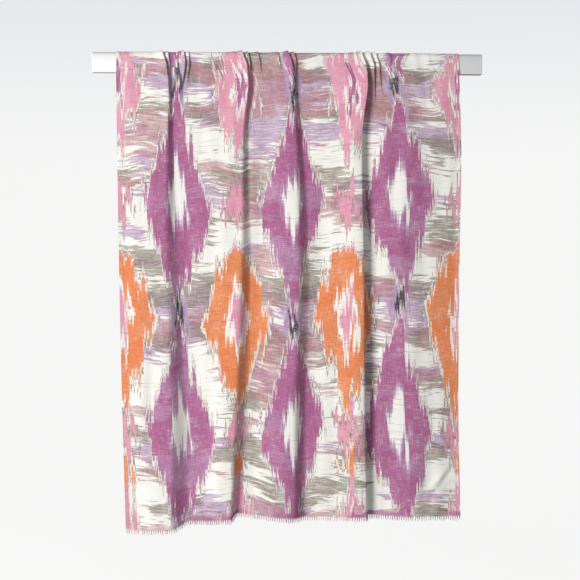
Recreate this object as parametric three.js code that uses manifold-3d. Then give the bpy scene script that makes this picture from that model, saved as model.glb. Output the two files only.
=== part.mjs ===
// A long printed scarf hung over a plain flat rail, in millimetres, +Z up.
// X runs along the rail, the front stretch of cloth faces -Y, and the origin is the middle of the rail's
// underside. The cloth is one rectangle: it climbs the back, turns over the rail and falls down the front,
// and its two short ends are frayed into a short fringe.
import * as THREE from "three";
import { mergeVertices } from "three/addons/utils/BufferGeometryUtils.js";
import Module from "manifold-3d";

const wasm = await Module();
wasm.setup();

// The rail
const RAIL_LENGTH = 760;
const RAIL_THICKNESS = 18;
const RAIL_HEIGHT = 40;
const RAIL_ROUND = RAIL_THICKNESS / 2;
const RAIL_ROUND_SEGMENTS = 16;

// The cloth
const CLOTH_THICKNESS = 1.0;
const SEAT_GAP = 0.3;
const SEAM_GAP = 0.3;
const FRONT_LENGTH = 909;
const BACK_LENGTH = 871;
const TURN_RADIUS = RAIL_ROUND + SEAT_GAP + CLOTH_THICKNESS / 2;
const QUARTER_TURN = (Math.PI / 2) * TURN_RADIUS;
const TURN_CENTRE_Z = RAIL_HEIGHT - RAIL_ROUND;
const SIDE_HEM_WIDTH = 6;
const SIDE_HEM_RISE = 0.4;

// The mesh of the cloth: columns across it, rows round the turn over the rail and rows from there to the hem
const COLUMNS = 60;
const FRONT_ROWS = { turn: 6, fall: 16 };
const BACK_ROWS = { turn: 6, fall: 9 };
const ROW_SPREAD = 1.5;
const HEM_COLUMNS = 2;

// How the columns gather: the least density everywhere, and what each fold and pleat adds round itself
const DENSITY = { least: 0.55, fold: 2.6, foldSpread: 13, pleat: 0.6, pleatSpread: 6, steps: 1400 };

// The fringe
const STRAND_COUNT = 110;
const STRAND_LENGTH = 9;
const STRAND_ROOT_RADIUS = 0.75;
const STRAND_TIP_RADIUS = 0.35;
const STRAND_SIDES = 3;
const STRAND_ROOT_DEPTH = 1.2;
const STRAND_SHORTEST = 0.82;
const STRAND_LONGEST = 1.07;
const STRAND_LEAN = 1.6;
const STRAND_KICK = 0.8;
const STRIP_HEIGHT = 3;
const STRIP_THICKNESS = 1.8;

// Rows of numbers under named columns, as a list of objects.
function table(names, rows) {
  return rows.map((row) => Object.fromEntries(names.map((name, i) => [name, row[i]])));
}

// s is the distance along the cloth from the rail's crown: down the front it is positive, down the back
// negative. The side edges, in X:
const EDGES = table(
  ["s", "left", "right"],
  [
    [-871, -314, 332],
    [-500, -323, 332],
    [-150, -331, 335],
    [0, -333, 333],
    [75, -333, 335],
    [190, -331, 338],
    [425, -327, 334],
    [680, -321, 332],
    [910, -314, 336],
  ],
);

// The four long folds, from left to right. Each rises gently to a ridge and falls steeply on its right to a
// foot: foot is the foot's X, run the width of the steep side and depth the ridge's height over the foot.
// ridgeSlip and footSlip are how far the cloth has slid over the rail to the front by its two ends.
const FOLD_COLUMNS = ["s", "foot", "run", "depth"];
const FOLDS = {
  left: {
    ridgeSlip: 22,
    footSlip: 6,
    sections: table(FOLD_COLUMNS, [
      [-871, -196, 34, 20],
      [-500, -204, 28, 17],
      [-150, -222, 16, 11],
      [0, -237, 8, 0.6],
      [75, -229, 11, 6],
      [190, -220, 15, 9],
      [425, -211, 21, 12],
      [680, -198, 31, 15],
      [910, -193, 35, 18],
    ]),
  },
  pillar: {
    ridgeSlip: 3,
    footSlip: -8,
    sections: table(FOLD_COLUMNS, [
      [-871, -78, 24, 20],
      [-500, -80, 20, 17],
      [-150, -78, 12, 11],
      [0, -77, 8, 0.6],
      [75, -77, 11, 8],
      [190, -78, 15, 10],
      [425, -82, 20, 13],
      [680, -90, 19, 16],
      [910, -106, 14, 20],
    ]),
  },
  middle: {
    ridgeSlip: 1,
    footSlip: -1,
    sections: table(FOLD_COLUMNS, [
      [-871, 62, 28, 19],
      [-500, 50, 24, 16],
      [-150, 26, 14, 11],
      [0, 15, 7, 0.6],
      [75, 20, 10, 8],
      [190, 28, 15, 11],
      [425, 28, 19, 14],
      [680, 28, 22, 15],
      [910, 29, 24, 16],
    ]),
  },
  right: {
    ridgeSlip: -1,
    footSlip: -4,
    sections: table(FOLD_COLUMNS, [
      [-871, 196, 26, 20],
      [-500, 184, 20, 17],
      [-150, 164, 12, 12],
      [0, 158, 7, 0.6],
      [75, 154, 7, 9],
      [190, 152, 9, 13],
      [425, 152, 12, 16],
      [680, 154, 13, 16],
      [910, 158, 12, 16],
    ]),
  },
};
const LEFT_EDGE = { share: 0.35, slip: 22 };
const RIGHT_SHOULDER = { offset: 78, share: 0.6, slip: -1 };
const RIGHT_EDGE = { share: 0.25, slip: -1 };

// The narrow pleats that the rail pinches up. x is the pleat's place on the crown, drift how far its foot
// moves sideways, and front and back are how far it runs down each side before it has opened out. Each leans
// to the right, so its right side is the steep one, and it widens on its way down.
const PLEAT_LEFT_SIDE = 1.25;
const PLEAT_RIGHT_SIDE = 0.75;
const PLEAT_WIDENING = 1.4;
const PLEATS = table(
  ["x", "drift", "height", "width", "front", "back"],
  [
    [-242, 10, 4.6, 4.6, 110, 80],
    [-198, -5, 4.8, 4.2, 105, 60],
    [-93, 1, 2.6, 4.0, 40, 50],
    [-80, 0, 5.2, 4.4, 150, 110],
    [-71, 2, 2.6, 3.8, 45, 35],
    [-55, 8, 2.8, 4.4, 80, 60],
    [-14, 6, 2.8, 4.2, 70, 90],
    [11, 4, 5.0, 4.4, 100, 70],
    [27, 0, 2.0, 4.0, 50, 60],
    [136, -2, 2.0, 4.4, 40, 60],
    [153, -8, 5.6, 4.4, 170, 90],
    [165, 16, 5.6, 4.6, 150, 110],
    [201, 6, 2.0, 4.6, 70, 50],
    [248, 4, 1.3, 4.6, 50, 60],
    [275, 4, 1.2, 4.6, 45, 40],
  ],
);

function smooth(t) {
  const c = Math.min(1, Math.max(0, t));
  return c * c * (3 - 2 * c);
}

// A column of a table at s, on one smooth curve through its rows.
function at(rows, column, s) {
  const last = rows.length - 1;
  let i = 0;
  while (i < last - 1 && s > rows[i + 1].s) i += 1;
  const p = rows[i];
  const q = rows[i + 1];
  const slope = (j) => {
    const a = rows[Math.max(0, j - 1)];
    const b = rows[Math.min(last, j + 1)];
    return (b[column] - a[column]) / (b.s - a.s);
  };
  const length = q.s - p.s;
  const t = Math.min(1, Math.max(0, (s - p.s) / length));
  const hold = (1 + 2 * t) * (1 - t) ** 2;
  const start = t * (1 - t) ** 2 * length;
  const end = t * t * (t - 1) * length;
  return hold * p[column] + (1 - hold) * q[column] + start * slope(i) + end * slope(i + 1);
}

// The ridges, feet and edges of the cloth's cross-section at s, from left to right.
function stations(s) {
  const left = at(EDGES, "left", s);
  const right = at(EDGES, "right", s);
  const folds = Object.values(FOLDS).map((fold) => ({
    foot: at(fold.sections, "foot", s),
    run: at(fold.sections, "run", s),
    depth: at(fold.sections, "depth", s),
    ridgeSlip: fold.ridgeSlip,
    footSlip: fold.footSlip,
  }));
  const lastFold = folds[folds.length - 1];
  return [
    { x: left, height: LEFT_EDGE.share * folds[0].depth, slip: LEFT_EDGE.slip },
    ...folds.flatMap((f) => [
      { x: f.foot - f.run, height: f.depth, slip: f.ridgeSlip },
      { x: f.foot, height: 0, slip: f.footSlip },
    ]),
    {
      x: lastFold.foot + RIGHT_SHOULDER.offset,
      height: RIGHT_SHOULDER.share * lastFold.depth,
      slip: RIGHT_SHOULDER.slip,
    },
    { x: right, height: RIGHT_EDGE.share * lastFold.depth, slip: RIGHT_EDGE.slip },
  ];
}

// A value of the stations at x, easing from one to the next.
function between(list, key, x) {
  let i = 0;
  while (i < list.length - 2 && x > list[i + 1].x) i += 1;
  const share = (x - list[i].x) / (list[i + 1].x - list[i].x);
  return list[i][key] + (list[i + 1][key] - list[i][key]) * smooth(share);
}

// How far a narrow pleat has opened out at s, from 0 at the crown to 1 at its end.
function pleatRun(pleat, s) {
  return Math.min(1, Math.abs(s) / (s >= 0 ? pleat.front : pleat.back));
}

// The height that the narrow pleats add at x and s.
function pleatHeight(x, s) {
  let height = 0;
  for (const pleat of PLEATS) {
    const run = pleatRun(pleat, s);
    const across = x - pleat.x - pleat.drift * run;
    const side = across < 0 ? PLEAT_LEFT_SIDE : PLEAT_RIGHT_SIDE;
    const width = pleat.width * (1 + PLEAT_WIDENING * run) * side;
    height += pleat.height * (1 - smooth(run)) * Math.exp(-((across / width) ** 2));
  }
  return height;
}

// The cloth's middle surface at x and s.
function clothPoint(x, s) {
  const height = between(stations(s), "height", x) + pleatHeight(x, s);
  const reach = TURN_RADIUS + height;
  const side = s >= 0 ? -1 : 1;
  const fall = Math.abs(s) - QUARTER_TURN;
  if (fall >= 0) return new THREE.Vector3(x, side * reach, TURN_CENTRE_Z - fall);
  const angle = s / TURN_RADIUS;
  return new THREE.Vector3(x, -reach * Math.sin(angle), TURN_CENTRE_Z + reach * Math.cos(angle));
}

function clothNormal(x, s) {
  const step = CLOTH_THICKNESS / 5;
  const across = clothPoint(x + step, s).sub(clothPoint(x - step, s));
  const along = clothPoint(x, s + step).sub(clothPoint(x, s - step));
  return along.cross(across).normalize();
}

// X of each column at s: columns gather where a fold's steep side or a pleat needs them.
function columnPlaces(s) {
  const marks = stations(s);
  const left = marks[0].x;
  const right = marks[marks.length - 1].x;
  const creases = Object.values(FOLDS).map((fold) => ({
    x: at(fold.sections, "foot", s) - at(fold.sections, "run", s) / 2,
    spread: DENSITY.foldSpread,
    pull: DENSITY.fold,
  }));
  for (const pleat of PLEATS) {
    creases.push({
      x: pleat.x + pleat.drift * pleatRun(pleat, s),
      spread: DENSITY.pleatSpread,
      pull: DENSITY.pleat * pleat.height,
    });
  }
  const density = (x) =>
    creases.reduce((sum, c) => sum + c.pull * Math.exp(-(((x - c.x) / c.spread) ** 2)), DENSITY.least);
  const inner = { left: left + SIDE_HEM_WIDTH, right: right - SIDE_HEM_WIDTH };
  const stride = (inner.right - inner.left) / DENSITY.steps;
  const sums = [0];
  for (let i = 0; i < DENSITY.steps; i += 1) {
    sums.push(sums[i] + density(inner.left + (i + 0.5) * stride) * stride);
  }
  const places = [left, inner.left];
  const spans = COLUMNS - 2 * HEM_COLUMNS + 1;
  let i = 0;
  for (let k = 1; k < spans; k += 1) {
    const target = (sums[DENSITY.steps] * k) / spans;
    while (sums[i + 1] < target) i += 1;
    places.push(inner.left + stride * (i + (target - sums[i]) / (sums[i + 1] - sums[i])));
  }
  places.push(inner.right, right);
  return places;
}

// A closed wall through a grid of places, each with a point on its outer and its inner face.
function wall(grid, material, name) {
  const rows = grid.length;
  const columns = grid[0].length;
  const positions = [];
  for (const face of ["outer", "inner"])
    for (const row of grid) for (const place of row) positions.push(...place[face].toArray());
  const index = (face, i, j) => face * rows * columns + i * columns + j;
  const triangles = [];
  const quad = (a, b, c, d) => triangles.push(a, b, c, a, c, d);
  for (let i = 0; i < rows - 1; i += 1) {
    for (let j = 0; j < columns - 1; j += 1) {
      quad(index(0, i, j), index(0, i + 1, j), index(0, i + 1, j + 1), index(0, i, j + 1));
      quad(index(1, i, j), index(1, i, j + 1), index(1, i + 1, j + 1), index(1, i + 1, j));
    }
  }
  for (let i = 0; i < rows - 1; i += 1) {
    quad(index(0, i, 0), index(1, i, 0), index(1, i + 1, 0), index(0, i + 1, 0));
    const j = columns - 1;
    quad(index(0, i, j), index(0, i + 1, j), index(1, i + 1, j), index(1, i, j));
  }
  for (let j = 0; j < columns - 1; j += 1) {
    quad(index(0, 0, j), index(0, 0, j + 1), index(1, 0, j + 1), index(1, 0, j));
    const i = rows - 1;
    quad(index(0, i, j), index(1, i, j), index(1, i, j + 1), index(0, i, j + 1));
  }
  const geometry = new THREE.BufferGeometry();
  geometry.setAttribute("position", new THREE.Float32BufferAttribute(positions, 3));
  geometry.setIndex(triangles);
  const mesh = new THREE.Mesh(geometry, material);
  mesh.name = name;
  return mesh;
}

// The outer and inner point of the cloth at x and s. rise thickens it outwards, as at a turned side hem.
function clothPlace(x, s, { thickness = CLOTH_THICKNESS, rise = 0 } = {}) {
  const middle = clothPoint(x, s);
  const normal = clothNormal(x, s);
  return {
    outer: middle.clone().addScaledVector(normal, thickness / 2 + rise),
    inner: middle.clone().addScaledVector(normal, -thickness / 2),
  };
}

// The distances of a stretch's rows from the crown: even round the turn, then wider apart towards the hem.
function rowDistances(length, rows) {
  const start = SEAM_GAP / 2;
  const distances = [];
  for (let i = 0; i < rows.turn; i += 1) distances.push(start + ((QUARTER_TURN - start) * i) / rows.turn);
  for (let i = 0; i <= rows.fall; i += 1) {
    distances.push(QUARTER_TURN + (length - QUARTER_TURN) * (i / rows.fall) ** ROW_SPREAD);
  }
  return distances;
}

// One hanging stretch, from the crown to its hem. side is 1 for the front and -1 for the back.
function stretchGrid(side, rows) {
  const length = side > 0 ? FRONT_LENGTH : BACK_LENGTH;
  const grid = rowDistances(length, rows).map((distance) => {
    const level = side * distance;
    const marks = stations(level);
    return columnPlaces(level).map((x, j) => {
      const slip = between(marks, "slip", x) * (distance / length);
      const inHem = j < HEM_COLUMNS || j >= COLUMNS - HEM_COLUMNS;
      return clothPlace(x, level + slip, { rise: inHem ? SIDE_HEM_RISE : 0 });
    });
  });
  return side > 0 ? grid : grid.reverse();
}

// A repeatable number from 0 to 1 for each whole number and purpose.
function scatter(i, purpose) {
  const wave = Math.sin(i * 12.9898 + purpose * 78.233) * 43758.5453;
  return wave - Math.floor(wave);
}

function toManifold(geometry) {
  const merged = mergeVertices(geometry);
  return new wasm.Manifold(
    new wasm.Mesh({
      numProp: 3,
      vertProperties: new Float32Array(merged.attributes.position.array),
      triVerts: new Uint32Array(merged.index.array),
    }),
  );
}

function fromManifold(solid) {
  const mesh = solid.getMesh();
  const geometry = new THREE.BufferGeometry();
  geometry.setAttribute("position", new THREE.Float32BufferAttribute(mesh.vertProperties, 3));
  geometry.setIndex(Array.from(mesh.triVerts));
  return geometry;
}

// A tapered strand from its root to its tip.
function strand(root, tip) {
  const axis = tip.clone().sub(root);
  const geometry = new THREE.CylinderGeometry(
    STRAND_ROOT_RADIUS,
    STRAND_TIP_RADIUS,
    axis.length(),
    STRAND_SIDES,
  );
  geometry.deleteAttribute("normal");
  geometry.deleteAttribute("uv");
  const turn = new THREE.Quaternion().setFromUnitVectors(
    new THREE.Vector3(0, -1, 0),
    axis.clone().normalize(),
  );
  geometry.applyQuaternion(turn);
  const middle = root.clone().add(tip).multiplyScalar(0.5);
  geometry.translate(middle.x, middle.y, middle.z);
  return toManifold(geometry);
}

// The frayed end: a narrow strip just under the cloth's last row, with the strands rooted in it.
function fringe(side, material, name) {
  const length = side > 0 ? FRONT_LENGTH : BACK_LENGTH;
  const level = side * length;
  const marks = stations(level);
  const hem = (x) => length + side * between(marks, "slip", x);
  const places = columnPlaces(level);
  const rows = [SEAM_GAP, SEAM_GAP + STRIP_HEIGHT];
  const grid = rows.map((below) =>
    places.map((x) => clothPlace(x, side * (hem(x) + below), { thickness: STRIP_THICKNESS })),
  );
  const strip = wall(side > 0 ? grid : grid.reverse(), material, name);
  let solid = toManifold(strip.geometry);
  const first = places[0];
  const pitch = (places[places.length - 1] - first) / STRAND_COUNT;
  let j = 0;
  for (let i = 0; i < STRAND_COUNT; i += 1) {
    const x = first + pitch * (i + 0.5);
    while (x > places[j + 1]) j += 1;
    const across = (x - places[j]) / (places[j + 1] - places[j]);
    const onStrip = (below) => {
      const [a, b] = [places[j], places[j + 1]].map((near) => clothPoint(near, side * (hem(near) + below)));
      return a.lerp(b, across);
    };
    const end = SEAM_GAP + STRIP_HEIGHT;
    const root = onStrip(end - STRAND_ROOT_DEPTH);
    const share = THREE.MathUtils.lerp(STRAND_SHORTEST, STRAND_LONGEST, scatter(i, 1));
    const tip = onStrip(end + STRAND_LENGTH * share);
    tip.x += STRAND_LEAN * THREE.MathUtils.lerp(-1, 1, scatter(i, 2));
    tip.y += STRAND_KICK * THREE.MathUtils.lerp(-1, 1, scatter(i, 3));
    solid = solid.add(strand(root, tip));
  }
  strip.geometry = fromManifold(solid);
  return strip;
}

// The plain rail: a flat bar with a half-round top.
function rail(material) {
  const section = new THREE.Shape();
  section.moveTo(-RAIL_ROUND, 0);
  section.lineTo(RAIL_ROUND, 0);
  section.lineTo(RAIL_ROUND, TURN_CENTRE_Z);
  section.absarc(0, TURN_CENTRE_Z, RAIL_ROUND, 0, Math.PI, false);
  section.closePath();
  const geometry = new THREE.ExtrudeGeometry(section, {
    depth: RAIL_LENGTH,
    bevelEnabled: false,
    curveSegments: RAIL_ROUND_SEGMENTS,
  });
  geometry.translate(0, 0, -RAIL_LENGTH / 2);
  const mesh = new THREE.Mesh(geometry, material);
  mesh.rotation.set(Math.PI / 2, 0, Math.PI / 2, "ZYX");
  mesh.name = "rail";
  return mesh;
}

const clothMaterial = new THREE.MeshStandardMaterial({ color: 0xb98bb0, roughness: 0.92, metalness: 0 });
const fringeMaterial = new THREE.MeshStandardMaterial({ color: 0xd9c3d2, roughness: 0.95, metalness: 0 });
const railMaterial = new THREE.MeshStandardMaterial({ color: 0xf2f2ef, roughness: 0.55, metalness: 0 });

const scarf = new THREE.Group();
scarf.add(rail(railMaterial));
scarf.add(wall(stretchGrid(1, FRONT_ROWS), clothMaterial, "cloth_front"));
scarf.add(wall(stretchGrid(-1, BACK_ROWS), clothMaterial, "cloth_back"));
scarf.add(fringe(1, fringeMaterial, "fringe_front"));
scarf.add(fringe(-1, fringeMaterial, "fringe_back"));

export default scarf;
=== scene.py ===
"""A long printed scarf with frayed ends, hung over a plain white rail.

The sizes in the tables are millimetres, as they are measured on the cloth. Everything that Blender gets
is in metres. X runs along the rail, the front stretch of the cloth faces -Y, and the origin is the middle
of the rail's underside.
"""

import functools
import math

import bmesh
import bpy
import numpy as np
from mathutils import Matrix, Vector


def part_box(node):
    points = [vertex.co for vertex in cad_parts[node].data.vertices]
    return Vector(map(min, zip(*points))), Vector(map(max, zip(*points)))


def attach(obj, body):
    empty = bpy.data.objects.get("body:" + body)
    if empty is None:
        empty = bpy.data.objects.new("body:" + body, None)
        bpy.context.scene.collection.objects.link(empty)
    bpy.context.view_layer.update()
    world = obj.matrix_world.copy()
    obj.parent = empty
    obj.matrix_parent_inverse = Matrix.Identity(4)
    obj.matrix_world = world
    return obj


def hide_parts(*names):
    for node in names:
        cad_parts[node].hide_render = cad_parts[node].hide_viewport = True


bl_info = {
    "name": "Scarf on a Rail",
    "version": (1, 0, 0),
    "blender": (4, 5, 0),
    "location": "3D View > Sidebar > Scarf",
    "description": "Makes a printed scarf with frayed ends, hung over a rail, and a plain studio round it",
    "category": "Add Mesh",
}

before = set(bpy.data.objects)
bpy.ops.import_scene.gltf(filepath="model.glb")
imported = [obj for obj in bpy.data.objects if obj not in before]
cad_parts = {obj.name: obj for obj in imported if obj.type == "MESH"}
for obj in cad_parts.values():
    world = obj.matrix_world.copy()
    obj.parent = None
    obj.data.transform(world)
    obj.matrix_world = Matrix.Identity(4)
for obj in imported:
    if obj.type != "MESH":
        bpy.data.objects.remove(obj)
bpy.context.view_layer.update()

MM = 0.001
FRONT, BACK = 1, -1
SIDES = {"front": FRONT, "back": BACK}

# The rail, and the turn that the cloth makes over it at a small gap
RAIL_LOW, RAIL_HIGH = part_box("rail")
RAIL_ROUND = (RAIL_HIGH[1] - RAIL_LOW[1]) / 2 / MM
SEAT_GAP = 0.3
CLOTH_WALL = 1.0
TURN_RADIUS = RAIL_ROUND + SEAT_GAP + CLOTH_WALL / 2
QUARTER_TURN = math.pi / 2 * TURN_RADIUS
TURN_CENTRE_Z = RAIL_HIGH[2] / MM - RAIL_ROUND


def table(names, *rows):
    """Rows of numbers under named columns, as one array for each column."""
    return dict(zip(names, np.array(rows, float).T))


# s is the distance along the cloth from the rail's crown: down the front it is positive, down the back
# negative. The side edges, in X:
EDGES = table(
    ("s", "left", "right"),
    (-871, -314, 332),
    (-500, -323, 332),
    (-150, -331, 335),
    (0, -333, 333),
    (75, -333, 335),
    (190, -331, 338),
    (425, -327, 334),
    (680, -321, 332),
    (910, -314, 336),
)

# The four long folds, from left to right. Each rises gently to a ridge and falls steeply on its right to a
# foot. lean is how far the ridge hangs over towards the foot.
FOLD_COLUMNS = ("s", "foot", "run", "depth", "lean")
LEFT_FOLD = table(
    FOLD_COLUMNS,
    (-871, -196, 34, 20, 4),
    (-500, -204, 28, 17, 5),
    (-150, -222, 16, 11, 7),
    (0, -237, 8, 0.6, 0),
    (75, -229, 12, 6, 8),
    (190, -220, 22, 10, 5),
    (425, -209, 32, 14, 3),
    (680, -194, 38, 17, 2),
    (910, -190, 40, 19, 2),
)
PILLAR_FOLD = table(
    FOLD_COLUMNS,
    (-871, -78, 24, 20, 5),
    (-500, -80, 20, 17, 6),
    (-150, -78, 12, 11, 9),
    (0, -83, 8, 0.6, 0),
    (75, -83, 12, 8, 10),
    (190, -78, 19, 11, 7),
    (425, -71, 27, 14, 4),
    (680, -78, 28, 17, 3),
    (910, -97, 22, 20, 4),
)
MIDDLE_FOLD = table(
    FOLD_COLUMNS,
    (-871, 62, 28, 19, 5),
    (-500, 50, 24, 16, 5),
    (-150, 26, 14, 11, 8),
    (0, 10, 7, 0.6, 0),
    (75, 14, 12, 8, 8),
    (190, 30, 22, 13, 5),
    (425, 44, 31, 17, 3),
    (680, 36, 29, 17, 3),
    (910, 34, 28, 18, 3),
)
RIGHT_FOLD = table(
    FOLD_COLUMNS,
    (-871, 196, 26, 20, 6),
    (-500, 184, 20, 17, 8),
    (-150, 164, 12, 12, 11),
    (0, 153, 7, 0.6, 0),
    (75, 142, 8, 10, 11),
    (190, 143, 15, 16, 13),
    (425, 150, 22, 20, 16),
    (680, 153, 24, 20, 16),
    (910, 158, 22, 19, 13),
)
FOLDS = (LEFT_FOLD, PILLAR_FOLD, MIDDLE_FOLD, RIGHT_FOLD)

# How far the cloth has slid over the rail to the front, at each fold's ridge and foot
FOLD_SLIPS = ((22, 6), (3, -8), (1, -1), (-1, -4))

# The cloth's height at its side edges and on the shoulder to the right of the last fold, as a share of the
# nearest fold's depth, and its slip there. offset is from that fold's foot to the shoulder.
LEFT_EDGE = {"share": 0.35, "slip": 22}
RIGHT_SHOULDER = {"offset": 78, "share": 0.6, "slip": -1}
RIGHT_EDGE = {"share": 0.25, "slip": -1}

# The places of the values in each mark of a cross-section
MARK_X, MARK_HEIGHT, MARK_LEAN, MARK_SLIP = range(4)

# The narrow pleats that the rail pinches up. x is the pleat's place on the crown, drift how far its foot
# moves sideways, and front and back are how far it runs down each side. The rail presses it flatter on the
# crown. It leans to the right, so its right side is the steep one, and it widens on its way down.
PLEAT_ON_CROWN = 0.42
PLEAT_FULL_AT = 34
PLEAT_LEFT_SIDE = 1.35
PLEAT_RIGHT_SIDE = 0.45
PLEAT_WIDENING = 1.4
PLEAT_LEAN = 1.3
PLEATS = table(
    ("x", "drift", "height", "width", "front", "back"),
    (-250, 10, 7.8, 4.4, 115, 80),
    (-237, 10, 4.6, 2.8, 100, 40),
    (-208, -5, 8.6, 4.0, 125, 60),
    (-196, -5, 4.8, 2.8, 105, 45),
    (-107, 1, 4.0, 4.0, 45, 50),
    (-96, 2, 9.8, 4.2, 165, 110),
    (-82, 2, 6.4, 2.8, 145, 60),
    (-62, 8, 4.4, 4.4, 80, 60),
    (-24, 6, 4.2, 4.2, 70, 90),
    (-6, 6, 9.0, 4.2, 120, 70),
    (8, 6, 5.6, 2.8, 105, 60),
    (124, -2, 3.0, 4.4, 40, 60),
    (136, -6, 10.4, 4.2, 190, 90),
    (152, 20, 9.2, 3.8, 140, 110),
    (166, 20, 5.6, 2.8, 115, 50),
    (196, 6, 2.8, 4.6, 70, 50),
    (247, 4, 1.7, 4.6, 50, 60),
    (274, 4, 1.5, 4.6, 45, 40),
)

# Soft creases, each from one place on the cloth to another: a ridge where depth is positive and a trough
# where it is negative. Each fades in and out over a share of its length, and all start past the crown, at a
# share of the quarter turn.
CREASE_FADE = 0.35
CREASES_START = 0.2
CREASES = table(
    ("x0", "s0", "x1", "s1", "width", "depth"),
    # Front: puckers that fan out under the rail
    (-318, 18, -300, 150, 7, 0.9),
    (-296, 16, -284, 120, 6, -0.9),
    (-268, 18, -262, 190, 8, 1.2),
    (-184, 18, -176, 150, 7, -1.0),
    (-160, 16, -158, 210, 9, 1.1),
    (-132, 18, -128, 120, 7, -0.8),
    (-112, 18, -116, 170, 8, 0.9),
    (-36, 16, -32, 140, 6, -1.0),
    (-22, 18, -24, 220, 8, 0.9),
    (52, 18, 58, 160, 8, 1.0),
    (80, 16, 84, 110, 6, -0.8),
    (104, 18, 112, 210, 9, 1.0),
    (186, 18, 214, 150, 6, -1.3),
    (226, 18, 240, 190, 8, 1.1),
    (262, 16, 272, 120, 6, -0.9),
    (300, 18, 306, 160, 8, 0.9),
    # Front: soft waves that run down between the folds
    (-300, 190, -292, 560, 16, 1.5),
    (-266, 380, -262, 860, 15, -1.4),
    (-282, 610, -276, 900, 12, 1.3),
    (-176, 200, -170, 520, 14, 1.4),
    (-150, 420, -160, 800, 15, -1.5),
    (-134, 620, -146, 905, 11, 1.6),
    (-50, 160, -42, 470, 13, -1.5),
    (-28, 300, -34, 700, 14, 1.5),
    (-62, 560, -66, 900, 12, -1.4),
    (-10, 640, -12, 905, 10, 1.2),
    (62, 190, 66, 480, 14, -1.4),
    (88, 170, 86, 860, 15, -2.0),
    (66, 600, 70, 905, 11, 1.3),
    (120, 160, 116, 890, 14, 2.6),
    (186, 180, 190, 480, 12, 1.3),
    (206, 420, 200, 860, 15, -1.6),
    (272, 210, 262, 620, 18, -1.6),
    (298, 480, 290, 900, 14, 1.5),
    (316, 240, 312, 560, 9, 1.0),
    (246, 640, 252, 905, 11, 1.3),
    # Front: short drags and the slanting crease near the lower right corner
    (316, 806, 268, 868, 5, 2.6),
    (322, 814, 276, 876, 4, -1.4),
    (-236, 120, -196, 96, 7, 0.7),
    (-70, 214, -30, 190, 8, 0.6),
    (166, 250, 206, 214, 8, 0.7),
    (-212, 470, -172, 500, 9, 0.6),
    (158, 610, 196, 640, 9, 0.7),
    (30, 730, 70, 712, 9, 0.6),
    # Back: puckers and waves of the same kind
    (-302, -18, -288, -160, 7, 1.0),
    (-270, -18, -260, -130, 6, -0.9),
    (-180, -18, -172, -190, 8, 1.1),
    (-140, -18, -136, -140, 7, -0.9),
    (-30, -18, -22, -200, 8, 1.0),
    (60, -18, 76, -150, 7, 1.0),
    (104, -18, 118, -220, 8, -1.0),
    (214, -18, 226, -170, 7, 1.0),
    (268, -18, 276, -140, 7, -0.8),
    (-292, -220, -284, -640, 16, 1.5),
    (-256, -420, -250, -860, 14, -1.4),
    (-160, -230, -152, -600, 15, -1.4),
    (-132, -480, -128, -865, 12, 1.5),
    (-40, -260, -30, -700, 15, 1.6),
    (0, -520, 8, -865, 12, -1.4),
    (92, -240, 104, -620, 14, 1.5),
    (124, -500, 138, -865, 12, -1.3),
    (226, -230, 238, -660, 16, 1.5),
    (268, -400, 276, -860, 14, -1.5),
    (304, -300, 300, -700, 10, 1.0),
    (-300, -760, -262, -820, 8, 1.2),
    (60, -640, 96, -668, 9, 0.7),
)

# Broad unevenness of the whole cloth, as waves of a length across and along it
RIPPLES = table(
    ("across", "along", "phase", "height"),
    (61, 640, 0.4, 0.42),
    (43, 410, 2.1, 0.30),
    (97, 270, 4.4, 0.36),
    (29, 900, 1.3, 0.20),
    (151, 190, 5.2, 0.30),
    (-83, 330, 3.0, 0.28),
)
RIPPLE_START, RIPPLE_FULL = 30, 190

# A stretch's mesh: the places tried across each row, how strongly its columns draw together where it bends,
# the columns in each side hem, and the degrees past which an edge is sharp
FINE_STEPS = 1500
BEND_PULL = 0.0022
HEM_COLUMNS = 5
RIM_ANGLE = 70

# The names under which the cloth and the yarns keep each point's place on the flat cut
CUT_MAP = "flat cut"
YARN_PLACE = "yarn_place"

# The print lies in a half drop. Its rows start at a share of the repeat's length. The warm rows start at a
# share of two lengths and lie between two steps there. Bundles of yarns and narrower ones shift the figures
# up and down, the figures sway by up to half of these metres, and STREAK wears their outlines.
ROW_START, WARM_START = 0.182, 0.66
WARM_FROM, WARM_TO = (0.08, 0.12), (0.58, 0.62)
BUNDLE_WIDTH, NARROW_WIDTH = 0.0074, 0.0029
SWAY_ACROSS, SWAY_ALONG, STREAK = 0.034, 0.060, 0.09

# How fast the distance from each figure's middle grows across the repeat and along it, and how much slower
# it grows in the warm rows, whose lozenges are larger
FIGURE_SLOPES = {"large": (3.0, 2.0), "small": (3.0, 2.2), "bead": (3.2, 4.6), "tip": (5.0, 3.0)}
WARM_GROWTH = 0.31

# The figures as they are printed, from the first. Each has rings from the outermost in: a dye, its radius
# and the width of its soft edge.
FIGURES = {
    "bead": (("taupe", 0.50, 0.03), ("pink", 0.44, 0.03)),
    "tip": (("lavender", 0.55, 0.10), ("charcoal", 0.26, 0.03)),
    "small": (
        ("taupe", 0.70, 0.02),
        ("ivory", 0.67, 0.02),
        ("outer", 0.63, 0.03),
        ("ivory", 0.27, 0.02),
        ("inner", 0.19, 0.03),
    ),
    "large": (
        ("taupe", 0.97, 0.02),
        ("ivory", 0.95, 0.02),
        ("washed", 0.91, 0.03),
        ("lavender", 0.37, 0.03),
        ("ivory", 0.30, 0.03),
    ),
}

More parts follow.
